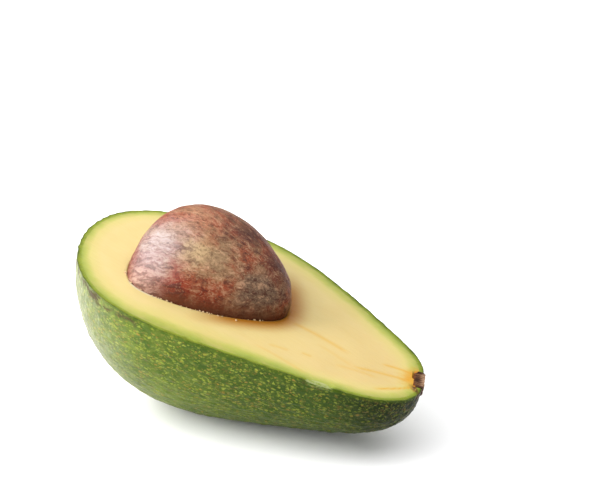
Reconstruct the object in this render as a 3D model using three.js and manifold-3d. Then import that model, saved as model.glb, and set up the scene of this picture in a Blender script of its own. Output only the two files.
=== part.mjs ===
// Half an avocado lying on its skin, with the seed in its hollow and the stub of the stem at the narrow end.
// Units are millimetres and +Z is up. The table that it lies on is the plane z = 0.
import * as THREE from "three";
import { mergeVertices } from "three/addons/utils/BufferGeometryUtils.js";
import Module from "manifold-3d";

// The fruit in its own frame: +X runs from the blossom end to the stem end, and the knife's cut is the plane
// z = 0. With u running from -1 to 1 along the axis, the half width is
// sqrt(1 - u²) (middle + taper u + shoulder u³).
const halfLength = 56;
const girth = { middle: 31.6, taper: -14.2, shoulder: 10.7 };
const depthRatio = 1.09; // how much deeper the half is than half of its width
const axisBend = { bow: -0.9, sway: 2.5 }; // the axis wanders sideways by (1 - u²) (bow + sway u)
const skinThickness = 1.2;
const fitGap = 0.3; // clearance between pieces that touch on the real fruit

// The pebbled skin: low bumps strewn over the whole fruit
const pebbles = { count: 760, spread: 0.078, height: 0.42, jitter: 0.35, randomSeed: 7 };

// The seed is an egg, blunt towards the blossom end, and its pointed end is tipped out of the fruit
const seed = {
  halfLength: 23.6,
  radius: 20.8,
  taper: 0.4,
  x: -12.9,
  z: -1.8,
  tilt: THREE.MathUtils.degToRad(19.5),
};

// The stub of the stem is a woody plug, cut lengthwise with the fruit. It sits a little to one side of the
// tip, where the fruit is slightly flattened.
const stem = {
  x: 52.5,
  y: 7.2,
  heading: THREE.MathUtils.degToRad(33),
  radius: 4,
  sunk: 2.6,
  proud: 0.4,
  rimRound: 0.7,
};
const stemDimple = { depth: 1.5, reach: 7 };

// How it lies: tipped towards the stem end until it balances, and pressed slightly flat where it rests
const lie = { pitch: THREE.MathUtils.degToRad(14), x: 11.3, height: 32.9 };

// Fineness of the faceted surfaces, as the number of splits of an icosahedron's edges
const detail = { skinOutside: 22, skinInside: 10, seed: 9, hollow: 9 };
const weldDistance = 1e-4;
const toolSize = 400; // wider than anything that the knife or the table cuts

const stemCentre = new THREE.Vector3(stem.x, stem.y, 0);
const stemHeading = new THREE.Vector3(Math.cos(stem.heading), Math.sin(stem.heading), 0);

const wasm = await Module();
wasm.setup();

function solidFrom(geometry) {
  const bare = geometry.clone();
  bare.deleteAttribute("normal");
  bare.deleteAttribute("uv");
  const welded = mergeVertices(bare, weldDistance);
  return new wasm.Manifold(
    new wasm.Mesh({
      numProp: 3,
      vertProperties: welded.attributes.position.array,
      triVerts: new Uint32Array(welded.index.array),
    }),
  );
}

function geometryFrom(solid) {
  const { vertProperties, triVerts } = solid.getMesh();
  const geometry = new THREE.BufferGeometry();
  geometry.setAttribute("position", new THREE.BufferAttribute(vertProperties, 3));
  geometry.setIndex(new THREE.BufferAttribute(triVerts, 1));
  geometry.computeVertexNormals();
  return geometry;
}

// A closed ball of nearly even triangles, with each vertex moved to where place() puts its direction
function mouldedBall(splits, place) {
  const ball = new THREE.IcosahedronGeometry(1, splits);
  ball.deleteAttribute("normal");
  ball.deleteAttribute("uv");
  const moulded = mergeVertices(ball, weldDistance);
  const positions = moulded.attributes.position;
  const direction = new THREE.Vector3();
  for (let i = 0; i < positions.count; i += 1) {
    direction.fromBufferAttribute(positions, i).normalize();
    const point = place(direction);
    positions.setXYZ(i, point.x, point.y, point.z);
  }
  moulded.computeVertexNormals();
  return moulded;
}

// Moves each vertex along its normal by what amount() says for its index
function pushedOut(geometry, amount) {
  const positions = geometry.attributes.position;
  const normals = geometry.attributes.normal;
  for (let i = 0; i < positions.count; i += 1) {
    const step = amount(i);
    positions.setXYZ(
      i,
      positions.getX(i) + step * normals.getX(i),
      positions.getY(i) + step * normals.getY(i),
      positions.getZ(i) + step * normals.getZ(i),
    );
  }
  geometry.computeVertexNormals();
  return geometry;
}

function fruitPoint(direction) {
  const u = direction.x;
  const radius = girth.middle + girth.taper * u + girth.shoulder * u ** 3;
  const sideways = (1 - u * u) * (axisBend.bow + axisBend.sway * u);
  const point = new THREE.Vector3(
    halfLength * u,
    sideways + radius * direction.y,
    depthRatio * radius * direction.z,
  );
  const nearness = Math.exp(-point.distanceToSquared(stemCentre) / stemDimple.reach ** 2);
  return point.addScaledVector(stemHeading, -stemDimple.depth * nearness);
}

function seedPoint(direction) {
  const radius = seed.radius * (1 - seed.taper * direction.x);
  return new THREE.Vector3(
    seed.halfLength * direction.x,
    radius * direction.y,
    radius * direction.z,
  );
}

// Directions of the pebbles: a golden spiral from pole to pole, each shaken a little out of its row
function pebbleDirections() {
  const goldenAngle = Math.PI * (3 - Math.sqrt(5));
  const shake = pebbles.jitter * Math.sqrt((4 * Math.PI) / pebbles.count);
  THREE.MathUtils.seededRandom(pebbles.randomSeed);
  const shaken = (value) => value + shake * (2 * THREE.MathUtils.seededRandom() - 1);
  const directions = [];
  for (let i = 0; i < pebbles.count; i += 1) {
    const along = 1 - (2 * i + 1) / pebbles.count;
    const around = i * goldenAngle;
    const radius = Math.sqrt(1 - along * along);
    const direction = new THREE.Vector3(
      shaken(along),
      shaken(radius * Math.cos(around)),
      shaken(radius * Math.sin(around)),
    );
    directions.push(direction.normalize());
  }
  return directions;
}

// Height of the pebbled relief in a direction: each pebble is a smooth round bump
function pebbleRelief(direction, centres) {
  let height = 0;
  for (const centre of centres) {
    const share = direction.distanceToSquared(centre) / pebbles.spread ** 2;
    if (share < 1) height = Math.max(height, pebbles.height * (1 - share) ** 2);
  }
  return height;
}

function pebbledFruit() {
  const centres = pebbleDirections();
  const heights = [];
  const surface = mouldedBall(detail.skinOutside, (direction) => {
    heights.push(pebbleRelief(direction, centres));
    return fruitPoint(direction);
  });
  return solidFrom(pushedOut(surface, (i) => heights[i]));
}

function fruitInside(inset) {
  return solidFrom(pushedOut(mouldedBall(detail.skinInside, fruitPoint), () => -inset));
}

// Where the seed lies in the fruit
const seedPlace = new THREE.Object3D();
seedPlace.position.set(seed.x, 0, seed.z);
seedPlace.rotation.y = -seed.tilt;
seedPlace.updateMatrix();

function seedHollow() {
  const shape = pushedOut(mouldedBall(detail.hollow, seedPoint), () => fitGap);
  return solidFrom(shape.applyMatrix4(seedPlace.matrix));
}

// The whole plug of the stem before the cut, laid along its heading. margin makes it wider, for its socket.
function stemPlug(margin) {
  const radius = stem.radius + margin;
  const bottom = -stem.sunk - margin;
  const top = stem.proud + margin;
  const profile = new THREE.Path();
  profile.moveTo(0, bottom);
  profile.lineTo(radius - stem.rimRound, bottom);
  profile.quadraticCurveTo(radius, bottom, radius, bottom + stem.rimRound);
  profile.lineTo(radius, top - stem.rimRound);
  profile.quadraticCurveTo(radius, top, radius - stem.rimRound, top);
  profile.lineTo(0, top);
  const curveSteps = 4;
  const roundSteps = 28;
  const plug = new THREE.LatheGeometry(profile.getPoints(curveSteps), roundSteps);
  const place = new THREE.Object3D();
  place.position.copy(stemCentre);
  place.rotation.z = stem.heading - Math.PI / 2;
  place.updateMatrix();
  return solidFrom(plug.applyMatrix4(place.matrix));
}

// Everything above the knife's cut, in the fruit's frame
function aboveCut() {
  const slab = new THREE.BoxGeometry(toolSize, toolSize, toolSize);
  return solidFrom(slab.translate(0, 0, toolSize / 2));
}

// Everything below the table, in the fruit's frame
function belowTable(fruit) {
  const slab = new THREE.BoxGeometry(toolSize, toolSize, toolSize);
  slab.translate(0, 0, -toolSize / 2);
  return solidFrom(slab.applyMatrix4(fruit.matrixWorld.clone().invert()));
}

function named(name, geometry, color, roughness) {
  const mesh = new THREE.Mesh(
    geometry,
    new THREE.MeshStandardMaterial({ color, roughness, metalness: 0 }),
  );
  mesh.name = name;
  return mesh;
}

function makeSkin(fruit) {
  const shell = pebbledFruit()
    .subtract(fruitInside(skinThickness))
    .subtract(aboveCut())
    .subtract(stemPlug(fitGap))
    .subtract(belowTable(fruit));
  return named("skin", geometryFrom(shell), 0x55692c, 0.45);
}

function makeFlesh() {
  const body = fruitInside(skinThickness + fitGap)
    .subtract(aboveCut())
    .subtract(seedHollow())
    .subtract(stemPlug(fitGap));
  return named("flesh", geometryFrom(body), 0xf3dd97, 0.5);
}

function makeSeed() {
  const mesh = named("seed", mouldedBall(detail.seed, seedPoint), 0x8a5a41, 0.5);
  mesh.position.copy(seedPlace.position);
  mesh.rotation.copy(seedPlace.rotation);
  return mesh;
}

function makeStem() {
  return named("stem_stub", geometryFrom(stemPlug(0).subtract(aboveCut())), 0x6b4a2a, 0.85);
}

const fruit = new THREE.Group();
fruit.position.set(lie.x, 0, lie.height);
fruit.rotation.y = lie.pitch;
fruit.updateMatrixWorld(true);
fruit.add(makeSkin(fruit), makeFlesh(), makeSeed(), makeStem());

const avocado = new THREE.Group();
avocado.add(fruit);

export default avocado;
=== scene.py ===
import math

import bmesh
import bpy
import numpy as np
from mathutils import Matrix, Vector, kdtree, noise


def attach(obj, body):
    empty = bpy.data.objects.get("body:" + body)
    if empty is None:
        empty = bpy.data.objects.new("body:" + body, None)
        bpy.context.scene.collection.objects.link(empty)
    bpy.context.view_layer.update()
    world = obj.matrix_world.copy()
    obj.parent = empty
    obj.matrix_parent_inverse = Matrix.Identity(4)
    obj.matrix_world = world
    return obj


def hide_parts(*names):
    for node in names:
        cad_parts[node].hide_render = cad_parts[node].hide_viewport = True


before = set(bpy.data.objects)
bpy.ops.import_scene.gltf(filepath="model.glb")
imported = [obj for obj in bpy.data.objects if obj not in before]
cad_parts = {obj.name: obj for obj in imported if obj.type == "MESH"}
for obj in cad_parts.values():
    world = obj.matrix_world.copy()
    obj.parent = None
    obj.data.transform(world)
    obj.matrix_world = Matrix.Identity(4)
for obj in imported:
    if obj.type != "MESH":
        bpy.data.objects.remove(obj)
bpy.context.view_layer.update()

# Driving sizes in millimetres, in the fruit's own frame: +X runs from the blossom end to the stem end, and
# the knife's cut is the plane z = 0. With u from -1 to 1 along the axis, the half width is
# sqrt(1 - u²) (MIDDLE + TAPER u + SHOULDER u³), and the axis bends sideways by (1 - u²) (BOW + SWAY u).
MM = 0.001
HALF_LENGTH = 56.0
MIDDLE, TAPER, SHOULDER = 31.6, -14.2, 10.7
DEPTH_RATIO = 1.09
BOW, SWAY = -0.9, 2.5
SKIN_THICKNESS = 1.2

# The seed: an egg, slimmer towards the stem and tilted, in a hollow that fits it with this clearance
SEED_HALF_LENGTH = 23.6
SEED_RADIUS = 20.8
SEED_TAPER = 0.4
SEED_CENTRE = np.array([-12.9, 0.0, -1.8])
SEED_TILT = math.radians(19.5)
SEED_CLEARANCE = 0.05
HOLLOW_CENTRE = np.array([SEED_CENTRE[0], 0.0, 0.0])

# The stem's plug: it lies in the cut, partly sunk into the fruit, and the peel dips in round it. Under the
# plug the cut face is lowered, up to a narrow overlap at its edge.
STEM_CENTRE = np.array([52.5, 7.2, 0.0])
STEM_ANGLE = math.radians(33)
STEM_HEADING = np.array([math.cos(STEM_ANGLE), math.sin(STEM_ANGLE), 0.0])
STEM_SIDE = np.array([-STEM_HEADING[1], STEM_HEADING[0], 0.0])
STEM_RADIUS = 4.0
STEM_SUNK = 2.6
STEM_PROUD = 0.4
STEM_ROUNDING = 0.7
STEM_OVERLAP = 0.15
FACE_UNDER_STEM = -1.0
DIMPLE_DEPTH, DIMPLE_REACH = 1.5, 7.0

# How the half lies: tipped towards its stem end, then moved along X and lifted
PITCH = math.radians(14)
LIE_X, LIE_HEIGHT = 11.3, 32.9

# Where the knife left the cut a little high, at the far side of the blunt end
RISE_X, RISE_Y, RISE_REACH, RISE_HEIGHT = -54.0, 12.0, 17.0, 0.9

# Pebbles of the peel: number of the random draw, how many on the whole fruit, how far each is shaken out of
# its even place, its spread on the unit sphere, and its least and greatest height
PEBBLES = [
    (7, 760, 0.35, 0.078, 0.08, 0.2),
    (8, 3400, 0.45, 0.036, 0.04, 0.17),
]

# How ragged the cut edge of the peel is, and how much more it is so at the blunt end
RAGGED, RAGGED_MORE = 0.1, 0.25
RAGGED_FROM_X, RAGGED_OVER = -30.0, 15.0
RAGGED_SIZE = 1.6

# The rings of the peel's edge on the cut, as shares of its thickness
EDGE_SHARES = np.array([0.12, 0.4, 0.7, 1.0])

# Marks near the rim, each with its two ends and its width
NICK = ((34.8, -19.0, 0.0), (39.5, -17.0, 0.0), 1.9)
NICK_DEPTH = 0.5
STEM_STAIN = ((52.6, 2.6, 0.0), (56.0, 0.4, -0.8), 1.4)
LONG_SCAR = ((-30.0, -34.6, -1.2), (-12.0, -34.2, -1.6), 2.2)
FAINT_SCAR = ((-44.0, -25.0, -1.0), (-30.0, -33.8, -1.0), 1.5)
FAINT_SCAR_STRENGTH = 0.8

# The cut face: height and size of its waves, how far from the peel they start, and its worn lip by the seed
WAVE_HEIGHT, WAVE_SIZE, WAVE_START = 0.12, 9.0, 3.0
LIP_WIDTH, LIP_DROP = 0.45, 0.2

# Threads of the flesh on the cut: start x, start y, end x, end y, sideways bend, half width, strength
THREADS = [
    (11.5, 0.4, 32.0, 1.1, 0.5, 0.8, 0.55),
    (24.0, -2.5, 37.0, -3.6, 0.4, 0.7, 0.25),
    (36.5, -3.9, 50.0, 4.0, 0.3, 0.6, 0.7),
    (33.0, -7.0, 44.0, -2.4, 0.3, 0.6, 0.35),
    (40.5, 4.4, 49.0, 7.6, 0.5, 0.5, 0.85),
    (46.5, -8.0, 53.0, 3.0, -0.5, 0.45, 1.0),
    (16.5, -14.2, 22.0, -11.8, 0.0, 0.6, 0.4),
    (24.5, -9.8, 27.5, -9.0, 0.0, 0.6, 0.5),
    (14.0, -17.4, 31.0, -17.0, 0.4, 0.5, 0.35),
]

# Relief of the seed: height, size of the lumps, their scale along the seed and the number of the noise
SEED_RELIEF = [
    (0.35, 11.0, 1.0, 2),
    (0.16, 3.2, 0.25, 3),
    (0.06, 1.1, 0.25, 4),
]
DENT_MIDDLE = np.array([-10.0, -17.0, 12.0])
DENT_REACH, DENT_DEPTH = 9.0, 0.9
DENT_FROM_HEIGHT, DENT_FULL_AFTER = 0.5, 4.0

# Where the seed swells at its foot: the middle, how far round it the swelling reaches, and its height
FOOT_SWELLS = [
    (np.array([-25.0, -21.5, -1.0]), 6.0, 0.9),
    (np.array([10.0, -1.0, 0.5]), 6.0, 1.1),
]

# The surface of the stem's plug: how it is divided, its frayed face with long fibres, its uneven outside and
# the pit in its middle
PLUG_SECTIONS, PLUG_ARC_STEPS, PLUG_CHORD_STEPS = 24, 40, 18
FRAY_HEIGHT, FRAY_SIZE, FRAY_LIFT = 0.2, 0.7, 0.12
FRAY_STRETCH = np.array([0.35, 1.0, 1.0])
UNEVEN_ALONG, UNEVEN_ALONG_SIZE = 0.35, 1.2
UNEVEN_SIDEWAYS, UNEVEN_SIDEWAYS_SIZE = 0.45, 1.7
PIT_ALONG, PIT_REACH, PIT_DEPTH = -1.3, 1.3, 0.5

# Crumbs at the seed's foot, between these two angles round it. Each is turned by up to nearly a whole turn.
CRUMB_COUNT = 46
CRUMBS_FROM, CRUMBS_TO = math.radians(200), math.radians(345)
CRUMB_SPREAD, CRUMB_OFFSET = 0.5, 0.1
CRUMB_LEAST, CRUMB_MOST = 0.1, 0.32
CRUMB_SHAPE = np.array([1.0, 0.8, 0.6])
CRUMB_ROUGHNESS = 0.3
CRUMB_LIFT = np.array([0.0, 0.0, 0.1])
CRUMB_TURN = 6.28

# How finely the surfaces are divided, and the angle from which an edge is left sharp
AROUND = 420
SKIN_RINGS = 170
CUT_RINGS = 64
HIDDEN_RINGS = 14
HOLLOW_RINGS = 16
SEED_SPLITS, CRUMB_SPLITS = 7, 2
SHARP_ANGLE = math.radians(50)

# The camera, in metres and in the part's frame: where it looks from, the point it looks at, and its lens
CAMERA_PLACE = Vector((0.3048, -0.3559, 0.2002))
CAMERA_AIM = Vector((0.0179, 0.0118, 0.0489))
LENS_MM = 108.0
SENSOR_MM = 36.0

# The light: level directions to the camera's left and away from it, the point that the lights face, and for
# each light its name, its distances to the left, away and up in metres, its size in metres and its watts
TO_LEFT = Vector((-0.7884, -0.6151, 0.0))
AWAY = Vector((-0.6151, 0.7884, 0.0))
UP = Vector((0.0, 0.0, 1.0))
LIGHT_AIM = Vector((0, 0, 0.02))
SOFTBOXES = [
    ("overhead", (0.1, 0.1, 0.9), 2.4, 22.0),
    ("side", (0.64, 0.08, 0.62), 0.42, 3.8),
    ("low side", (0.7, -0.12, 0.26), 0.5, 6.8),
    ("front", (0.5, -0.72, 0.42), 0.7, 1.6),
]
WORLD_STRENGTH = 0.34
FLOOR_HALF = 3.0


# The direction straight down, as a ring of one
BOTTOM = np.array([[0.0, 0.0, -1.0]])


# Shapes

def turned_about_y(points, angle):
    """Points turned about the Y axis, from +Z towards +X for a positive angle."""
    cosine, sine = math.cos(angle), math.sin(angle)
    x, y, z = points[:, 0], points[:, 1], points[:, 2]
    return np.column_stack([cosine * x + sine * z, y, cosine * z - sine * x])


def with_rise(points):
    """Points of the fruit with the knife's little rise in the cut."""
    away = (points[:, 0] - RISE_X) ** 2 + (points[:, 1] - RISE_Y) ** 2
    share = np.exp(-away / RISE_REACH**2) * np.clip(1 + points[:, 2] / RISE_REACH, 0, 1)
    return points + np.column_stack([np.zeros((len(points), 2)), RISE_HEIGHT * share])


def laid(points):
    """Fruit-frame millimetres to part-frame millimetres: tipped, lifted and pressed flat on the surface."""
    world = turned_about_y(with_rise(points), PITCH) + np.array([LIE_X, 0.0, LIE_HEIGHT])
    world[:, 2] = np.maximum(world[:, 2], 0.0)
    return world


def unit(vectors):
    """The vectors, each brought to length 1."""
    return vectors / np.linalg.norm(vectors, axis=1, keepdims=True)


def fruit_surface(directions):
    """The smooth outside of the whole fruit, for directions from its middle on the unit sphere."""
    u = directions[:, 0]
    radius = MIDDLE + TAPER * u + SHOULDER * u**3
    sideways = (1 - u * u) * (BOW + SWAY * u)
    points = np.column_stack([
        HALF_LENGTH * u,
        sideways + radius * directions[:, 1],
        DEPTH_RATIO * radius * directions[:, 2],
    ])
    away = np.sum((points - STEM_CENTRE) ** 2, axis=1)
    nearness = np.exp(-away / DIMPLE_REACH**2)
    return points - DIMPLE_DEPTH * nearness[:, None] * STEM_HEADING


def seed_surface(directions):
    """The smooth seed in its own frame, for directions on the unit sphere."""
    radius = SEED_RADIUS * (1 - SEED_TAPER * directions[:, 0])
    return np.column_stack([
        SEED_HALF_LENGTH * directions[:, 0],
        radius * directions[:, 1],
        radius * directions[:, 2],
    ])


def normals_of(surface, directions):
    """Outward normals of a surface given by directions, from small steps on the unit sphere."""
    step = 1e-3
    helper = np.tile([0.0, 0.0, 1.0], (len(directions), 1))
    helper[np.abs(directions[:, 2]) > 0.9] = [0.0, 1.0, 0.0]
    first = unit(np.cross(directions, helper))
    second = np.cross(directions, first)
    here = surface(directions)
    along_first = surface(unit(directions + step * first)) - here
    along_second = surface(unit(directions + step * second)) - here
    found = unit(np.cross(along_first, along_second))
    outward = np.sign(np.sum(found * directions, axis=1, keepdims=True))
    return found * outward


def under_skin(directions):
    """The inner side of the peel, for directions from the fruit's middle."""
    return fruit_surface(directions) - SKIN_THICKNESS * normals_of(fruit_surface, directions)


def seed_to_fruit(points):
    """Points of the seed's own frame, in the fruit's frame."""
    return turned_about_y(points, -SEED_TILT) + SEED_CENTRE


def fruit_to_seed(points):
    """Points of the fruit's frame, in the seed's own frame."""
    return turned_about_y(points - SEED_CENTRE, SEED_TILT)


def golden_directions(count, jitter, seed_number):
    """Nearly even directions over the sphere, each shaken a little out of its place."""
    random = np.random.default_rng(seed_number)
    order = np.arange(count)
    along = 1 - (2 * order + 1) / count
    around = order * math.pi * (3 - math.sqrt(5))
    radius = np.sqrt(1 - along**2)
    directions = np.column_stack([along, radius * np.cos(around), radius * np.sin(around)])
    shake = jitter * math.sqrt(4 * math.pi / count)
    return unit(directions + shake * random.uniform(-1, 1, directions.shape))


def nearest(places, points):
    """For each point, the number of the place nearest to it and how far off that place is."""
    tree = kdtree.KDTree(len(places))
    for index, place in enumerate(places):
        tree.insert(place, index)
    tree.balance()
    found = [tree.find(point) for point in points]
    return np.array([hit[1] for hit in found]), np.array([hit[2] for hit in found])


def bumps(directions, centres, spread, heights):
    """Height of round bumps at the directions: each point takes its nearest bump."""
    which, distance = nearest(centres, directions)
    share = np.minimum((distance / spread) ** 2, 1.0)
    return heights[which] * (1 - share) ** 2


def soft_noise(points, size, seed_number):
    """Smooth noise from -1 to 1 at points in millimetres, with lumps of this size."""
    shift = Vector((17.3, 5.1, 9.7)) * seed_number
    return np.array([noise.noise(Vector(point) / size + shift) for point in points])


# Meshes

def add_piece(name, points, faces, material, attributes=None):
    """A smooth-shaded piece from part-frame millimetres, with named numbers or vectors on its points."""
    mesh = bpy.data.meshes.new(name)
    mesh.from_pydata((points * MM).tolist(), [], faces)
    mesh.update()
    for key, values in (attributes or {}).items():
        kind, field = ("FLOAT_VECTOR", "vector") if values.ndim == 2 else ("FLOAT", "value")
        layer = mesh.attributes.new(key, kind, "POINT")
        layer.data.foreach_set(field, values.astype(np.float32).ravel())
    mesh.polygons.foreach_set("use_smooth", [True] * len(mesh.polygons))
    mesh.set_sharp_from_angle(angle=SHARP_ANGLE)
    mesh.materials.append(material)
    piece = bpy.data.objects.new(name, mesh)
    bpy.context.scene.collection.objects.link(piece)
    return piece


def ring_faces(rings, around, flip=False):
    """Quads between rings of points that each close on themselves."""
    faces = []
    for ring in range(rings - 1):
        for step in range(around):
            a = ring * around + step
            b = ring * around + (step + 1) % around
            quad = (a, b, b + around, a + around)
            faces.append(quad[::-1] if flip else quad)
    return faces


def cap_faces(first, around, tip, flip=False):
    """Triangles from a ring of points to one tip."""
    faces = []
    for step in range(around):
        triangle = (first + step, first + (step + 1) % around, tip)
        faces.append(triangle[::-1] if flip else triangle)
    return faces


def closed_faces(rings):
    """Quads between all rings, and caps from the first and last ring to the two points that come after."""
    count = rings * AROUND
    faces = ring_faces(rings, AROUND)
    faces += cap_faces(0, AROUND, count, flip=True)
    faces += cap_faces(count - AROUND, AROUND, count + 1)
    return faces


def rim_directions():
    """Directions from the fruit's middle to points all round the rim of the cut."""
    angles = np.linspace(0, 2 * math.pi, AROUND, endpoint=False)
    return np.column_stack([np.cos(angles), np.sin(angles), np.zeros(AROUND)])


def rings_below(rim, rings, first_ring=0):
    """Rings of directions from those of the rim down to the bottom, without the last single point."""
    levels = np.linspace(0, math.pi / 2, rings, endpoint=False)[first_ring:]
    return np.concatenate([math.cos(level) * rim + math.sin(level) * BOTTOM for level in levels])


def bottom_first(directions):
    """The same rings, from the lowest up to the rim."""
    return directions.reshape(-1, AROUND, 3)[::-1].reshape(-1, 3)


def sunk_under_stem(points):
    """The cut face lowered where the stem's plug fills it."""
    relative = points - STEM_CENTRE
    within = np.abs(relative @ STEM_SIDE) < STEM_RADIUS - STEM_OVERLAP
    covered = within & (relative @ STEM_HEADING > STEM_OVERLAP - STEM_SUNK)
    lowered = points.copy()
    lowered[covered & (points[:, 2] > FACE_UNDER_STEM), 2] = FACE_UNDER_STEM
    return lowered


def near_rim_line(points, start, end, width):
    """How close points are to a straight mark near the rim, from 1 on it to 0 beyond its width."""
    start, end = np.array(start), np.array(end)
    along = end - start
    share = np.clip((points - start) @ along / (along @ along), 0, 1)
    distance = np.linalg.norm(points - start - share[:, None] * along, axis=1)
    return np.clip(1 - distance / width, 0, 1)


def scar_at(points):
    """Where the peel is scarred below the rim, from 1 on a scar to 0 around it."""
    faint = FAINT_SCAR_STRENGTH * near_rim_line(points, *FAINT_SCAR)
    return np.maximum(near_rim_line(points, *LONG_SCAR), faint)


def skin_relief(directions):
    """The pebbled relief of the peel, in millimetres above the smooth fruit."""
    random = np.random.default_rng(9)
    relief = np.zeros(len(directions))
    for seed_number, count, shake, spread, least, greatest in PEBBLES:
        centres = golden_directions(count, shake, seed_number)
        relief += bumps(directions, centres, spread, random.uniform(least, greatest, count))
    return relief


def build_skin(material):
    """The peel: the pebbled outside, its thin edge on the cut and its plain inner side."""
    rim = rim_directions()
    outside = bottom_first(rings_below(rim, SKIN_RINGS))
    normals = normals_of(fruit_surface, outside)
    places = fruit_surface(outside) + skin_relief(outside)[:, None] * normals
    outer_edge = places[-AROUND:]
    ragged = RAGGED + RAGGED_MORE * np.clip((RAGGED_FROM_X - outer_edge[:, 0]) / RAGGED_OVER, 0, 1)
    outer_edge += (ragged * soft_noise(outer_edge, RAGGED_SIZE, 11))[:, None] * normals[-AROUND:]
    outer_edge[:, 2] = 0.0
    inner_edge = under_skin(rim)
    band = [outer_edge + share * (inner_edge - outer_edge) for share in EDGE_SHARES]
    inside = under_skin(rings_below(rim, HIDDEN_RINGS, 1))
    points = np.concatenate([places, *band, inside, fruit_surface(BOTTOM), under_skin(BOTTOM)])
    faces = closed_faces(SKIN_RINGS + len(EDGE_SHARES) + HIDDEN_RINGS - 1)
    edge = slice(len(places), len(places) + len(EDGE_SHARES) * AROUND)
    rind = np.zeros(len(points))
    rind[edge] = np.repeat(EDGE_SHARES, AROUND) * SKIN_THICKNESS
    on_cut = np.zeros(len(points))
    on_cut[edge] = 1.0
    stem_distance = np.linalg.norm(points - STEM_CENTRE, axis=1)
    points = sunk_under_stem(points)
    scar = scar_at(points)
    nick = near_rim_line(points, *NICK)
    points[:, 2] -= NICK_DEPTH * nick
    piece = add_piece("skin_peel", laid(points), faces, material, {
        "scar": scar,
        "nick": nick,
        "stem_mark": near_rim_line(points, *STEM_STAIN),
        "place": points,
        "rind": rind,
        "on_cut": on_cut,
        "below_rim": -points[:, 2],
        "stem_distance": stem_distance,
    })
    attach(piece, "root")
    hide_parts("skin")


def foot_swelling(points):
    """How far the seed swells out at its foot beyond a plain egg, at places in the fruit's frame."""
    swelling = np.zeros(len(points))
    for middle, reach, height in FOOT_SWELLS:
        swelling += height * np.exp(-np.sum((points - middle) ** 2, axis=1) / reach**2)
    return swelling


def hollow_reach(directions):
    """How far the hollow's wall lies from its centre on the cut, along each direction, found by halving."""
    farthest, halvings = 60.0, 40
    low = np.zeros(len(directions))
    high = np.full(len(directions), farthest)
    for _ in range(halvings):
        middle = (low + high) / 2
        inside = fruit_to_seed(HOLLOW_CENTRE + middle[:, None] * directions)
        u = np.clip(inside[:, 0] / SEED_HALF_LENGTH, -1, 1)
        radius = SEED_RADIUS * (1 - SEED_TAPER * u) * np.sqrt(1 - u * u)
        beyond = np.hypot(inside[:, 1], inside[:, 2]) > radius
        high = np.where(beyond, middle, high)
        low = np.where(beyond, low, middle)
    return low + SEED_CLEARANCE + foot_swelling(HOLLOW_CENTRE + low[:, None] * directions)


def hollow_wall(directions):
    """The wall of the seed's hollow, for directions from its centre on the cut."""
    return HOLLOW_CENTRE + hollow_reach(directions)[:, None] * directions


def strand_strength(points):
    """How strongly the threads show at points of the cut face, from 0 to 1. Each fades at both ends."""
    total = np.zeros(len(points))
    for x0, y0, x1, y1, bend, width, strength in THREADS:
        along = np.array([x1 - x0, y1 - y0])
        length = np.linalg.norm(along)
        along = along / length
        across = np.array([-along[1], along[0]])
        relative = points[:, :2] - np.array([x0, y0])
        share = (relative @ along) / length
        offset = relative @ across - bend * 4 * share * (1 - share)
        ends = np.clip(share * 5, 0, 1) * np.clip((1.05 - share) * 6, 0, 1)
        total = np.maximum(total, strength * ends * np.exp(-((offset / width) ** 2)))
    return total


def build_flesh(material):
    """The flesh: its hidden side under the peel, the cut face and the hollow of the seed."""
    rim = rim_directions()
    outer_edge = under_skin(rim)
    towards_rim = unit(outer_edge - HOLLOW_CENTRE)
    mouth = hollow_wall(towards_rim)
    cut = np.concatenate([
        outer_edge + share * (mouth - outer_edge)
        for share in np.linspace(0, 1, CUT_RINGS)
    ])
    from_mouth = np.linalg.norm(cut - np.tile(mouth, (CUT_RINGS, 1)), axis=1)
    from_edge = np.linalg.norm(cut - np.tile(outer_edge, (CUT_RINGS, 1)), axis=1)
    cut[:, 2] += np.clip(from_edge / WAVE_START, 0, 1) * WAVE_HEIGHT * soft_noise(cut, WAVE_SIZE, 1)
    cut[:, 2] -= LIP_DROP * np.clip(1 - from_mouth / LIP_WIDTH, 0, 1) ** 2
    hidden = under_skin(bottom_first(rings_below(rim, HIDDEN_RINGS, 1)))
    wall = hollow_wall(rings_below(towards_rim, HOLLOW_RINGS, 1))
    points = np.concatenate([hidden, cut, wall, under_skin(BOTTOM), hollow_wall(BOTTOM)])
    faces = closed_faces(HIDDEN_RINGS - 1 + CUT_RINGS + HOLLOW_RINGS - 1)
    rind = nearest(fruit_surface(rim), points * np.array([1.0, 1.0, 0.0]))[1]
    seed_gap = nearest(mouth, points)[1]
    nick = near_rim_line(points, *NICK)
    points = sunk_under_stem(points)
    points[:, 2] -= NICK_DEPTH * nick
    piece = add_piece("flesh_body", laid(points), faces, material, {
        "nick": nick,
        "stem_mark": near_rim_line(points, *STEM_STAIN),
        "place": points,
        "rind": rind,
        "seed_gap": seed_gap,
        "strand": strand_strength(points),
        "stem_distance": np.linalg.norm(points - STEM_CENTRE, axis=1),
    })
    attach(piece, "root")
    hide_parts("flesh")


def sphere_directions(splits):
    """Directions and triangles of an icosphere."""
    ball = bmesh.new()
    bmesh.ops.create_icosphere(ball, subdivisions=splits, radius=1.0)
    directions = unit(np.array([vertex.co[:] for vertex in ball.verts]))
    faces = [tuple(vertex.index for vertex in face.verts) for face in ball.faces]
    ball.free()
    return directions, faces


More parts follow.
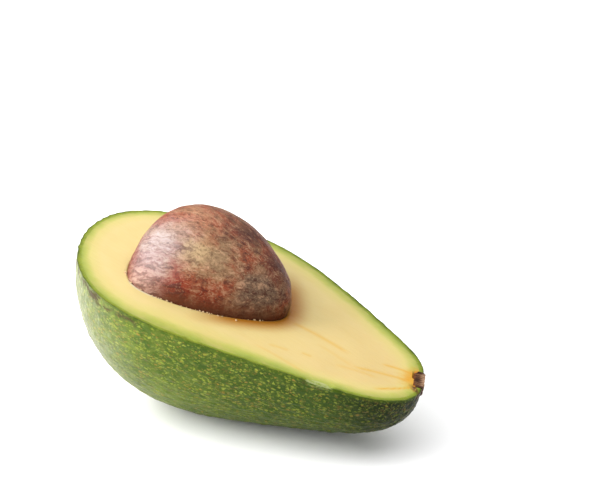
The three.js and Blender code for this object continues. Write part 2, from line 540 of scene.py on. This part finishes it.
def build_seed(material):
    """The whole seed, loose in its hollow, with long ribs and a shallow dent in its flank."""
    directions, faces = sphere_directions(SEED_SPLITS)
    smooth = seed_surface(directions)
    relief = np.zeros(len(smooth))
    for height, size, along, seed_number in SEED_RELIEF:
        relief += height * soft_noise(smooth * np.array([along, 1.0, 1.0]), size, seed_number)
    from_dent = np.sum((smooth - DENT_MIDDLE) ** 2, axis=1)
    clear_of_cut = np.clip((seed_to_fruit(smooth)[:, 2] - DENT_FROM_HEIGHT) / DENT_FULL_AFTER, 0, 1)
    relief -= DENT_DEPTH * np.exp(-from_dent / DENT_REACH**2) * clear_of_cut
    relief += foot_swelling(seed_to_fruit(smooth))
    places = smooth + relief[:, None] * normals_of(seed_surface, directions)
    fruit = seed_to_fruit(places)
    piece = add_piece("seed_whole", laid(fruit), faces, material, {
        "place": places,
        "above_cut": fruit[:, 2],
    })
    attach(piece, "root")
    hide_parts("seed")


def plug_sections():
    """Half discs along the plug, rounded at both ends: each has an arc below and a chord on the cut."""
    arc = np.linspace(0, math.pi, PLUG_ARC_STEPS)
    chord = np.linspace(-1, 1, PLUG_CHORD_STEPS + 2)[1:-1]
    sideways = np.concatenate([np.cos(arc), chord])
    down = np.concatenate([np.sin(arc), np.zeros(PLUG_CHORD_STEPS)])
    rows = []
    for level in np.linspace(-STEM_SUNK, STEM_PROUD, PLUG_SECTIONS):
        near_end = min(level + STEM_SUNK, STEM_PROUD - level)
        radius = STEM_RADIUS - STEM_ROUNDING * max(0.0, 1 - near_end / STEM_ROUNDING) ** 2
        rows.append(np.column_stack([np.full(len(sideways), level), radius * sideways, -radius * down]))
    return np.concatenate(rows)


def build_stem(material):
    """The woody plug, cut lengthwise: a half disc of fibres with a frayed face."""
    loop = PLUG_ARC_STEPS + PLUG_CHORD_STEPS
    points = plug_sections()
    faces = ring_faces(PLUG_SECTIONS, loop, flip=True)
    faces.append(tuple(range(loop)))
    faces.append(tuple(range(len(points) - loop, len(points)))[::-1])
    on_cut = (np.abs(points[:, 2]) < 1e-6).astype(float)
    points[:, 2] += on_cut * (FRAY_HEIGHT * soft_noise(points * FRAY_STRETCH, FRAY_SIZE, 5) + FRAY_LIFT)
    points[:, 0] += UNEVEN_ALONG * soft_noise(points, UNEVEN_ALONG_SIZE, 6)
    points[:, 1] += UNEVEN_SIDEWAYS * soft_noise(points, UNEVEN_SIDEWAYS_SIZE, 12)
    from_pit = (points[:, 0] - PIT_ALONG) ** 2 + points[:, 1] ** 2
    points[:, 2] -= on_cut * PIT_DEPTH * np.exp(-from_pit / PIT_REACH**2)
    fruit = STEM_CENTRE + points[:, :1] * STEM_HEADING + points[:, 1:2] * STEM_SIDE
    fruit[:, 2] = points[:, 2]
    piece = add_piece("stem_plug", laid(fruit), faces, material, {
        "place": points,
        "stem_edge": STEM_RADIUS - np.hypot(points[:, 1], points[:, 2]),
    })
    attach(piece, "root")
    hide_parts("stem_stub")


def build_crumbs(material):
    """Small crumbs of seed coat that lie along the seed's foot on the cut face."""
    random = np.random.default_rng(21)
    directions, ball = sphere_directions(CRUMB_SPLITS)
    points = []
    faces = []
    for angle in random.uniform(CRUMBS_FROM, CRUMBS_TO, CRUMB_COUNT):
        outward = np.array([[math.cos(angle), math.sin(angle), 0.0]])
        reach = hollow_reach(outward)[0] + abs(random.normal(0, CRUMB_SPREAD)) + CRUMB_OFFSET
        middle = HOLLOW_CENTRE + reach * outward[0]
        size = random.uniform(CRUMB_LEAST, CRUMB_MOST) * CRUMB_SHAPE
        rough = 1 + CRUMB_ROUGHNESS * random.uniform(-1, 1, (len(directions), 1))
        turn = Matrix.Rotation(random.uniform(0, CRUMB_TURN), 3, "Z")
        start = len(points) * len(directions)
        points.append(middle + directions @ np.array(turn) * rough * size + CRUMB_LIFT)
        faces += [tuple(start + corner for corner in face) for face in ball]
    cloud = np.concatenate(points)
    piece = add_piece("seed_crumbs", laid(cloud), faces, material, {"place": cloud})
    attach(piece, "root")


# Materials

class Shading:
    """A short way to write a material: most calls add one node and return its output.

    In the functions below, s is the Shading of the material. Places and reaches are in millimetres.
    """

    def __init__(self, name):
        self.material = bpy.data.materials.new(name)
        self.material.use_nodes = True
        self.tree = self.material.node_tree
        self.shader = self.tree.nodes["Principled BSDF"]

    def put(self, socket, value):
        """Link the value to the socket, or write it there where it is a plain value."""
        if isinstance(value, bpy.types.NodeSocket):
            self.tree.links.new(value, socket)
        else:
            socket.default_value = value

    def node(self, kind, settings=None, **inputs):
        """Any node. An underscore in the name of an input stands for a space."""
        made = self.tree.nodes.new(kind)
        for key, value in (settings or {}).items():
            setattr(made, key, value)
        for key, value in inputs.items():
            self.put(made.inputs[key.replace("_", " ")], value)
        return made

    def attribute(self, name, output="Fac"):
        return self.node("ShaderNodeAttribute", {"attribute_name": name}).outputs[output]

    def axis(self, vector, name="X"):
        return self.node("ShaderNodeSeparateXYZ", Vector=vector).outputs[name]

    def stretch(self, vector, scale):
        return self.node("ShaderNodeMapping", Vector=vector, Scale=scale).outputs["Vector"]

    def noise(self, vector, scale, detail=2.0, roughness=0.5):
        made = self.node("ShaderNodeTexNoise", Vector=vector, Scale=scale, Detail=detail)
        made.inputs["Roughness"].default_value = roughness
        return made.outputs["Fac"]

    def shaken(self, vector, scale, reach):
        """The vector moved by noise, along each axis by 0 to twice the reach."""
        clouds = self.node("ShaderNodeTexNoise", Vector=vector, Scale=scale, Detail=3.0)
        made = self.tree.nodes.new("ShaderNodeVectorMath")
        made.operation = "MULTIPLY_ADD"
        self.put(made.inputs[0], clouds.outputs["Color"])
        made.inputs[1].default_value = (2 * reach,) * 3
        self.put(made.inputs[2], vector)
        return made.outputs[0]

    def near(self, vector, centre, reach):
        """1 at the centre, falling smoothly to 0 at its reach and beyond."""
        made = self.tree.nodes.new("ShaderNodeVectorMath")
        made.operation = "DISTANCE"
        self.put(made.inputs[0], vector)
        made.inputs[1].default_value = centre
        return self.between(made.outputs["Value"], 0.0, reach, 1.0, 0.0)

    def cells(self, vector, scale, feature="F1"):
        return self.node("ShaderNodeTexVoronoi", {"feature": feature}, Vector=vector, Scale=scale)

    def between(self, value, low, high, to_low=0.0, to_high=1.0):
        """The value carried smoothly from the range low to high onto the range to_low to to_high."""
        made = self.node("ShaderNodeMapRange", {"interpolation_type": "SMOOTHSTEP"}, Value=value)
        made.inputs["From Min"].default_value = low
        made.inputs["From Max"].default_value = high
        made.inputs["To Min"].default_value = to_low
        made.inputs["To Max"].default_value = to_high
        return made.outputs["Result"]

    def math(self, operation, first, second=0.0):
        made = self.tree.nodes.new("ShaderNodeMath")
        made.operation = operation
        self.put(made.inputs[0], first)
        self.put(made.inputs[1], second)
        return made.outputs[0]

    def times(self, first, second):
        return self.math("MULTIPLY", first, second)

    def mix(self, share, first, second):
        """The first colour where the share is 0 and the second where it is 1."""
        made = self.tree.nodes.new("ShaderNodeMix")
        made.data_type = "RGBA"
        self.put(made.inputs["Factor"], share)
        colour_inputs = [socket for socket in made.inputs if socket.type == "RGBA"]
        self.put(colour_inputs[0], first)
        self.put(colour_inputs[1], second)
        return next(socket for socket in made.outputs if socket.type == "RGBA")

    def ramp(self, value, stops):
        """A run of colours, from stops of position and colour."""
        made = self.tree.nodes.new("ShaderNodeValToRGB")
        self.put(made.inputs["Fac"], value)
        elements = made.color_ramp.elements
        elements[0].position, elements[0].color = stops[0]
        elements[1].position, elements[1].color = stops[-1]
        for position, colour in stops[1:-1]:
            elements.new(position).color = colour
        return made.outputs["Color"]

    def bump(self, height, distance, strength=1.0, normal=None):
        """A normal from a height. The distance is in metres."""
        made = self.node("ShaderNodeBump", Height=height, Distance=distance, Strength=strength)
        if normal is not None:
            self.tree.links.new(normal, made.inputs["Normal"])
        return made.outputs["Normal"]

    def finish(self, colour, roughness, specular, normal=None):
        """Put the colour, roughness, specular level and relief on the shader, and return the material."""
        self.put(self.shader.inputs["Base Color"], colour)
        self.put(self.shader.inputs["Roughness"], roughness)
        self.shader.inputs["Specular IOR Level"].default_value = specular
        if normal is not None:
            self.put(self.shader.inputs["Normal"], normal)
        return self.material


def srgb(red, green, blue):
    """A colour written as screen values from 0 to 255, as the linear colour that shaders take."""
    def linear(value):
        share = value / 255
        return share / 12.92 if share <= 0.04045 else ((share + 0.055) / 1.055) ** 2.4
    return (linear(red), linear(green), linear(blue), 1.0)


# How much brighter than its own colour a level surface shows here, and a steep one. seen() and shown() take
# this light off a screen colour, for the cut face and for all steeper surfaces.
LIGHT_LEVEL = 1.68
STEEP_LEVEL = 1.04

# How far in from the peel the colour of the cut still changes
RIND_SPAN = 12.0


def seen(red, green, blue):
    """The colour of a level surface that shows as this screen colour in this light."""
    return tuple(min(value / LIGHT_LEVEL, 1.0) for value in srgb(red, green, blue)[:3]) + (1.0,)


def shown(red, green, blue):
    """The colour of a steep surface, which takes less light than a level one."""
    return tuple(value / STEEP_LEVEL for value in srgb(red, green, blue)[:3]) + (1.0,)


def rind_colour(s, rind, place):
    """Colour of the cut by the distance from the outside: dark peel, green flesh, then pale yellow."""
    waver = s.noise(place, 0.25, 3.0)
    front = s.between(s.axis(place, "Y"), -12.0, -24.0)
    front = s.times(front, s.between(s.axis(place), -26.0, -4.0))
    rind = s.times(rind, s.between(s.axis(place), -54.0, -24.0, 1.45, 1.1))
    front = s.times(front, s.between(rind, 0.8, 2.4))
    wide_front = s.times(rind, s.between(front, 0.0, 1.0, 1.0, 0.73))
    shifted = s.math("ADD", wide_front, s.between(waver, 0.25, 0.75, -0.3, 0.3))
    share = s.math("DIVIDE", s.math("MAXIMUM", shifted, 0.0), RIND_SPAN)
    return s.ramp(share, [
        (0.0, seen(70, 92, 14)),
        (0.4 / RIND_SPAN, seen(124, 138, 36)),
        (0.9 / RIND_SPAN, seen(148, 163, 50)),
        (2.0 / RIND_SPAN, seen(178, 189, 74)),
        (3.4 / RIND_SPAN, seen(206, 205, 98)),
        (5.0 / RIND_SPAN, seen(236, 220, 132)),
        (9.0 / RIND_SPAN, seen(247, 223, 150)),
        (1.0, seen(247, 222, 148)),
    ])


def skin_green(s, place, middling, fine):
    """Greens in patches of three sizes with a little brown, and painted shade towards the stem end, which is
    turned from the light.
    """
    along = s.axis(place)
    broad = s.noise(place, 0.05, 3.0)
    green = s.mix(s.between(broad, 0.35, 0.65), shown(78, 96, 30), shown(102, 118, 44))
    green = s.mix(s.between(middling, 0.36, 0.62, 0.0, 0.75), green, shown(50, 76, 18))
    green = s.mix(s.between(fine, 0.5, 0.66, 0.0, 0.4), green, shown(116, 124, 50))
    # Painted shade: the peel darkens towards the stem end, which the light hardly reaches
    green = s.mix(s.between(along, -14.0, 38.0, 0.0, 0.85), green, shown(38, 58, 10))
    green = s.mix(s.between(along, 34.0, 56.0, 0.0, 0.9), green, shown(14, 24, 0))
    brown = s.noise(place, 0.9, 3.0, 0.7)
    return s.mix(s.between(brown, 0.56, 0.7, 0.0, 0.4), green, shown(116, 82, 40))


def skin_flecks(s, place, green):
    """The green with pale flecks of many sizes, and the shape of the flecks for the relief."""
    cells = s.cells(s.stretch(s.shaken(place, 1.4, 0.5), (0.42, 1.0, 1.0)), 2.0)
    draw = s.node("ShaderNodeSeparateColor", Color=cells.outputs["Color"])
    edge = s.between(draw.outputs["Red"], 0.0, 1.0, 0.22, 0.7)
    flecks = s.between(s.math("SUBTRACT", edge, cells.outputs["Distance"]), -0.05, 0.3)
    strength = s.times(flecks, s.between(draw.outputs["Green"], 0.0, 1.0, 0.2, 0.66))
    # The flecks fade towards the stem end, with the painted shade there
    strength = s.times(strength, s.between(s.axis(place), 10.0, 56.0, 1.0, 0.5))
    colour = s.mix(s.between(draw.outputs["Blue"], 0.6, 0.95), shown(150, 158, 58), shown(160, 124, 52))
    return s.mix(strength, green, colour), flecks


def skin_painted_sheen(s, green, painted_sheen, wrinkles):
    """Painted sheen of the side light at the blunt end: a pale colour, with painted light on the folds and
    painted shade in the creases.
    """
    green = s.mix(s.times(painted_sheen, 0.54), green, shown(190, 184, 166))
    painted_fold_light = s.times(painted_sheen, s.between(wrinkles, 0.52, 0.64))
    green = s.mix(s.times(painted_fold_light, 0.42), green, shown(206, 208, 184))
    painted_crease_shade = s.times(painted_sheen, s.between(wrinkles, 0.46, 0.36))
    return s.mix(s.times(painted_crease_shade, 0.65), green, shown(92, 90, 60))


def skin_marks(s, place, green, nick, middling):
    """The scars, the chip in the rim, a dark speck beside it, and the brown round the stem."""
    scar = s.times(s.attribute("scar"), s.between(middling, 0.4, 0.6, 0.2, 1.0))
    green = s.mix(s.between(scar, 0.1, 0.6, 0.0, 0.9), green, shown(66, 50, 30))
    green = s.mix(s.between(nick, 0.3, 1.0, 0.0, 0.4), green, shown(150, 162, 100))
    green = s.mix(s.near(place, (34.0, -20.6, -0.8), 1.3), green, shown(66, 50, 22))
    stem_distance = s.math("ADD", s.attribute("stem_distance"), s.times(middling, 3.0))
    green = s.mix(s.between(stem_distance, 5.5, 9.0, 0.9, 0.0), green, shown(60, 32, 16))
    return s.mix(s.between(s.attribute("stem_mark"), 0.1, 0.7, 0.0, 0.9), green, shown(60, 30, 14))


def skin_rim(s, place, nick):
    """The colour of the peel's edge on the cut."""
    rim = rind_colour(s, s.attribute("rind"), place)
    rim = s.mix(s.between(nick, 0.3, 0.8, 0.0, 0.6), rim, seen(198, 206, 148))
    return s.mix(s.between(s.attribute("stem_mark"), 0.3, 0.8, 0.0, 0.95), rim, seen(96, 46, 12))


def skin_material():
    s = Shading("avocado_skin")
    place = s.attribute("place", "Vector")
    lengthwise = s.stretch(place, (0.5, 1.0, 1.0))
    middling = s.noise(lengthwise, 0.4, 5.0, 0.65)
    fine = s.noise(lengthwise, 1.6, 4.0, 0.65)
    wrinkles = s.noise(s.stretch(place, (1.0, 1.0, 0.22)), 1.0, 4.0, 0.6)
    # Painted sheen where the side light grazes the blunt end of the peel
    painted_sheen = s.times(s.near(place, (-44.0, -16.0, -20.0), 44.0), s.between(middling, 0.35, 0.65, 0.55, 1.0))
    nick = s.times(s.attribute("nick"), s.between(fine, 0.35, 0.65, 0.4, 1.4))
    green, flecks = skin_flecks(s, place, skin_green(s, place, middling, fine))
    green = s.mix(s.between(s.attribute("below_rim"), 0.2, 1.2, 0.5, 0.0), green, shown(64, 84, 0))
    # Painted sheen, with painted light on the folds and painted shade in the creases, at the blunt end
    green = skin_painted_sheen(s, green, painted_sheen, wrinkles)
    green = skin_marks(s, place, green, nick, middling)
    colour = s.mix(s.attribute("on_cut"), green, skin_rim(s, place, nick))
    pebbles = s.cells(s.shaken(lengthwise, 0.5, 0.5), 0.6, "SMOOTH_F1")
    normal = s.bump(s.between(pebbles.outputs["Distance"], 0.0, 0.7, 1.0, 0.0), 0.00025)
    normal = s.bump(s.times(painted_sheen, wrinkles), 0.0004, 1.0, normal)
    normal = s.bump(s.math("ADD", fine, s.times(flecks, 0.3)), 0.00014, 1.0, normal)
    return s.finish(colour, s.between(fine, 0.3, 0.7, 0.36, 0.5), 0.09, normal)


def flesh_stem_stain(s, colour, rough):
    """The yellow stain round the stem's plug and the brown mark that runs across the rim."""
    stem_distance = s.math("ADD", s.attribute("stem_distance"), s.times(rough, 4.0))
    colour = s.mix(s.between(stem_distance, 4.8, 10.0, 1.0, 0.0), colour, seen(238, 172, 36))
    mark = s.times(s.attribute("stem_mark"), s.between(rough, 0.3, 0.7, 0.5, 1.5))
    colour = s.mix(s.between(mark, 0.0, 0.5, 0.0, 0.8), colour, seen(176, 140, 30))
    return s.mix(s.between(mark, 0.4, 0.9, 0.0, 0.95), colour, seen(96, 46, 12))


def flesh_by_seed(s, place, colour):
    """Painted shadow of the seed on its stem side, warm with its brown reflected light, and a tan line and a
    pale film at its foot.
    """
    seed_gap = s.attribute("seed_gap")
    # Painted shadow that the seed casts on the flesh beside it, with its warm reflected light
    painted_seed_shadow = s.times(s.between(seed_gap, 0.0, 7.5, 1.0, 0.0), s.between(s.axis(place), -8.0, 4.0))
    colour = s.mix(painted_seed_shadow, colour, seen(194, 120, 4))
    colour = s.mix(s.between(seed_gap, 0.0, 0.8, 0.5, 0.0), colour, seen(214, 180, 110))
    film = s.times(s.near(place, (-21.0, -22.0, 0.0), 10.0), s.between(seed_gap, 0.4, 1.3, 1.0, 0.0))
    return s.mix(s.between(film, 0.1, 0.7, 0.0, 0.7), colour, seen(240, 226, 200))


def flesh_material():
    s = Shading("avocado_flesh")
    place = s.attribute("place", "Vector")
    rind = s.attribute("rind")
    colour = rind_colour(s, rind, place)
    cloud = s.noise(s.stretch(place, (0.5, 1.0, 1.0)), 0.16, 4.0)
    colour = s.mix(s.between(cloud, 0.42, 0.68, 0.0, 0.35), colour, seen(242, 212, 136))
    stem_half = s.times(s.between(s.axis(place), 0.0, 45.0, 0.0, 0.6), s.between(rind, 3.0, 9.0))
    colour = s.mix(stem_half, colour, seen(236, 202, 132))
    colour = s.mix(s.times(s.attribute("strand"), 0.85), colour, seen(240, 182, 40))
    colour = flesh_by_seed(s, place, colour)
    rough = s.noise(place, 0.6, 4.0)
    colour = flesh_stem_stain(s, colour, rough)
    chip = s.times(s.attribute("nick"), s.between(rough, 0.3, 0.7, 0.5, 1.4))
    colour = s.mix(s.between(chip, 0.2, 0.8, 0.0, 0.6), colour, seen(208, 214, 158))
    s.shader.inputs["Subsurface Weight"].default_value = 0.12
    s.shader.inputs["Subsurface Radius"].default_value = (1.0, 0.6, 0.2)
    s.shader.inputs["Subsurface Scale"].default_value = 0.0015
    strokes = s.noise(s.stretch(place, (0.25, 1.6, 1.0)), 0.9, 3.0)
    grain = s.noise(place, 3.0, 3.0)
    normal = s.bump(s.math("ADD", strokes, s.times(grain, 0.3)), 0.0001, 0.5)
    return s.finish(colour, s.between(strokes, 0.3, 0.7, 0.42, 0.56), 0.25, normal)


def seed_red_band(s, place, patches, streaks):
    """Where the seed is red: a band above its foot, weaker at the stem end and on the far side."""
    height = s.math("ADD", s.attribute("above_cut"), s.times(patches, 6.0))
    red_band = s.times(s.between(height, 12.5, 8.0), s.between(s.axis(place), 17.0, 9.0))
    red_band = s.times(red_band, s.between(s.axis(place, "Y"), 4.0, -8.0, 0.2, 1.0))
    return s.times(red_band, s.between(streaks, 0.4, 0.54, 0.65, 1.0))


def seed_patches(s, loose, colour, patches, streaks):
    """The tan flank with its beige patch, the grey end and the dark upper side, and where it is tan."""
    tan = s.near(loose, (13.0, -6.5, 17.5), 11.0)
    tan = s.times(tan, s.between(patches, 0.35, 0.6, 0.5, 1.5))
    colour = s.mix(tan, colour, shown(130, 103, 74))
    beige = s.times(s.near(loose, (9.0, -7.5, 18.5), 7.0), s.between(streaks, 0.42, 0.58, 1.3, 0.7))
    colour = s.mix(beige, colour, shown(164, 138, 100))
    grey_end = s.near(loose, (25.0, -3.0, 7.0), 11.0)
    grey_end = s.times(grey_end, s.between(patches, 0.3, 0.6, 0.8, 1.6))
    colour = s.mix(grey_end, colour, shown(98, 76, 60))
    dark = s.math("MAXIMUM", s.near(loose, (14.0, 8.0, 20.0), 10.0), s.near(loose, (24.0, 8.0, 11.0), 9.0))
    return s.mix(dark, colour, shown(74, 36, 28)), tan


def seed_fibres(s, colour, tan, red_band, streaks, fibres, grains):
    """Dark and pale streaks and fibres along the seed, and pale grains."""
    dark_streaks = s.times(s.between(streaks, 0.5, 0.62), s.between(tan, 0.0, 1.0, 0.75, 0.35))
    colour = s.mix(dark_streaks, colour, shown(62, 26, 18))
    pale = s.times(s.between(streaks, 0.47, 0.36), s.between(red_band, 0.0, 1.0, 0.6, 0.1))
    colour = s.mix(pale, colour, shown(172, 134, 104))
    colour = s.mix(s.between(fibres, 0.5, 0.66, 0.0, 0.55), colour, shown(66, 30, 16))
    colour = s.mix(s.between(fibres, 0.46, 0.34, 0.0, 0.3), colour, shown(184, 144, 112))
    return s.mix(s.between(grains, 0.6, 0.72, 0.0, 0.4), colour, shown(186, 156, 122))


def seed_foot(s, place, colour, streaks):
    """The dark foot of the seed, and painted light on its front at the blunt end, where the foot faces out
    to the light.
    """
    foot = s.between(s.attribute("above_cut"), 0.0, 6.0, 0.8, 0.0)
    foot = s.times(foot, s.between(s.axis(place), -12.0, 2.0, 0.2, 1.0))
    colour = s.mix(foot, colour, shown(80, 44, 24))
    # Painted light on the front of the foot at the blunt end
    painted_foot_light = s.near(place, (-8.0, -20.0, 6.0), 9.0)
    painted_foot_light = s.times(painted_foot_light, s.between(streaks, 0.4, 0.6, 0.7, 0.15))
    return s.mix(painted_foot_light, colour, shown(206, 172, 152))


def seed_painted_light(s, loose, colour, streaks, fibres):
    """Painted light on the seed's crown, and a painted highlight of the side light on its upper flank."""
    # Painted light on the top of the seed
    painted_top_light = s.times(s.near(loose, (3.0, 1.0, 25.0), 12.0), s.between(fibres, 0.4, 0.62, 0.45, 0.1))
    colour = s.mix(painted_top_light, colour, shown(190, 134, 104))
    # Painted highlight of the side light on the upper flank
    painted_highlight = s.times(s.near(loose, (-3.0, -12.0, 20.0), 15.0), s.between(streaks, 0.4, 0.6, 1.0, 0.6))
    painted_highlight = s.times(painted_highlight, s.between(fibres, 0.4, 0.62, 0.95, 0.6))
    return s.mix(s.times(painted_highlight, 0.9), colour, shown(171, 163, 163))


def seed_material():
    s = Shading("avocado_seed")
    place = s.attribute("place", "Vector")
    loose = s.shaken(place, 0.2, 4.0)
    wavy = s.shaken(place, 0.35, 1.2)
    patches = s.noise(s.stretch(place, (0.4, 1.0, 1.0)), 0.22, 5.0, 0.7)
    streaks = s.noise(s.stretch(wavy, (0.2, 1.0, 1.0)), 0.65, 5.0, 0.7)
    fibres = s.noise(s.stretch(wavy, (0.3, 1.0, 1.0)), 1.9, 4.0, 0.7)
    grains = s.noise(place, 2.2, 2.0, 0.7)
    red_band = seed_red_band(s, place, patches, streaks)
    colour = s.mix(s.between(patches, 0.42, 0.6), shown(130, 60, 34), shown(138, 98, 68))
    colour = s.mix(red_band, colour, shown(116, 32, 2))
    colour, tan = seed_patches(s, loose, colour, patches, streaks)
    colour = seed_fibres(s, colour, tan, red_band, streaks, fibres, grains)
    colour = seed_foot(s, place, colour, streaks)
    # Painted light on the crown and a painted highlight on the flank
    colour = seed_painted_light(s, loose, colour, streaks, fibres)
    normal = s.bump(streaks, 0.0003)
    normal = s.bump(s.math("ADD", fibres, grains), 0.0001, 1.0, normal)
    return s.finish(colour, s.between(grains, 0.3, 0.7, 0.4, 0.5), 0.13, normal)


def stem_material():
    s = Shading("avocado_stem")
    place = s.attribute("place", "Vector")
    along = s.axis(place)
    fibres = s.noise(s.stretch(place, (0.5, 2.2, 2.2)), 1.1, 5.0, 0.6)
    colour = s.mix(s.between(fibres, 0.35, 0.65), shown(60, 30, 12), shown(112, 76, 44))
    dry = s.times(s.between(along, -1.2, 0.2), s.between(fibres, 0.4, 0.6, 0.4, 1.0))
    colour = s.mix(dry, colour, shown(156, 124, 98))
    edge = s.math("ADD", s.attribute("stem_edge"), s.between(fibres, 0.3, 0.7, -0.5, 0.5))
    colour = s.mix(s.between(edge, 0.0, 1.3, 0.95, 0.0), colour, shown(46, 20, 8))
    colour = s.mix(s.near(place, (-1.5, 0.2, 0.0), 1.7), colour, shown(44, 20, 8))
    colour = s.mix(s.between(along, -1.9, -2.6, 0.0, 0.8), colour, shown(112, 60, 20))
    corners = s.math("MAXIMUM", s.near(place, (-2.9, 4.2, 0.0), 2.0), s.near(place, (-2.9, -4.2, 0.0), 1.7))
    corners = s.math("ADD", corners, s.between(fibres, 0.3, 0.7, -0.12, 0.12))
    colour = s.mix(s.between(corners, 0.2, 0.4, 0.0, 0.9), colour, shown(190, 126, 36))
    return s.finish(colour, 0.8, 0.2, s.bump(fibres, 0.0003, 0.8))


def crumb_material():
    s = Shading("seed_coat_crumbs")
    grain = s.noise(s.attribute("place", "Vector"), 1.2, 3.0)
    return s.finish(s.mix(grain, srgb(232, 208, 160), srgb(150, 100, 60)), 0.7, 0.5)


def floor_material():
    s = Shading("pale_floor")
    grain = s.noise(s.node("ShaderNodeNewGeometry").outputs["Position"], 40.0, 2.0)
    return s.finish(s.mix(grain, (0.95, 0.95, 0.955, 1), (0.97, 0.97, 0.975, 1)), 0.9, 0.1)


# Stage, camera and light

def build_floor():
    sides = np.array([[-1, -1, 0], [1, -1, 0], [1, 1, 0], [-1, 1, 0]])
    floor = add_piece("floor", sides * FLOOR_HALF / MM, [(0, 1, 2, 3)], floor_material())


def add_camera():
    data = bpy.data.cameras.new("camera")
    data.lens = LENS_MM
    data.sensor_width = SENSOR_MM
    data.dof.use_dof = False
    camera = bpy.data.objects.new("camera", data)
    camera.location = CAMERA_PLACE
    camera.rotation_euler = (CAMERA_AIM - CAMERA_PLACE).to_track_quat("-Z", "Y").to_euler()
    bpy.context.scene.collection.objects.link(camera)
    bpy.context.scene.camera = camera


def add_softbox(name, place, size, watts):
    """A round, soft, white light that faces the fruit."""
    data = bpy.data.lights.new(name, "AREA")
    data.shape = "DISK"
    data.size = size
    data.energy = watts
    light = bpy.data.objects.new(name, data)
    light.location = place
    light.rotation_euler = (LIGHT_AIM - place).to_track_quat("-Z", "Y").to_euler()
    bpy.context.scene.collection.objects.link(light)


def add_light():
    world = bpy.data.worlds.new("studio")
    world.use_nodes = True
    background = world.node_tree.nodes["Background"]
    background.inputs["Color"].default_value = (1.0, 1.0, 1.0, 1.0)
    background.inputs["Strength"].default_value = WORLD_STRENGTH
    bpy.context.scene.world = world
    for name, (left, away, up), size, watts in SOFTBOXES:
        add_softbox(name, left * TO_LEFT + away * AWAY + up * UP, size, watts)
    bpy.context.scene.view_settings.view_transform = "Standard"
    bpy.context.scene.view_settings.look = "None"


add_camera()
add_light()
build_floor()
build_skin(skin_material())
build_flesh(flesh_material())
build_seed(seed_material())
build_stem(stem_material())
build_crumbs(crumb_material())
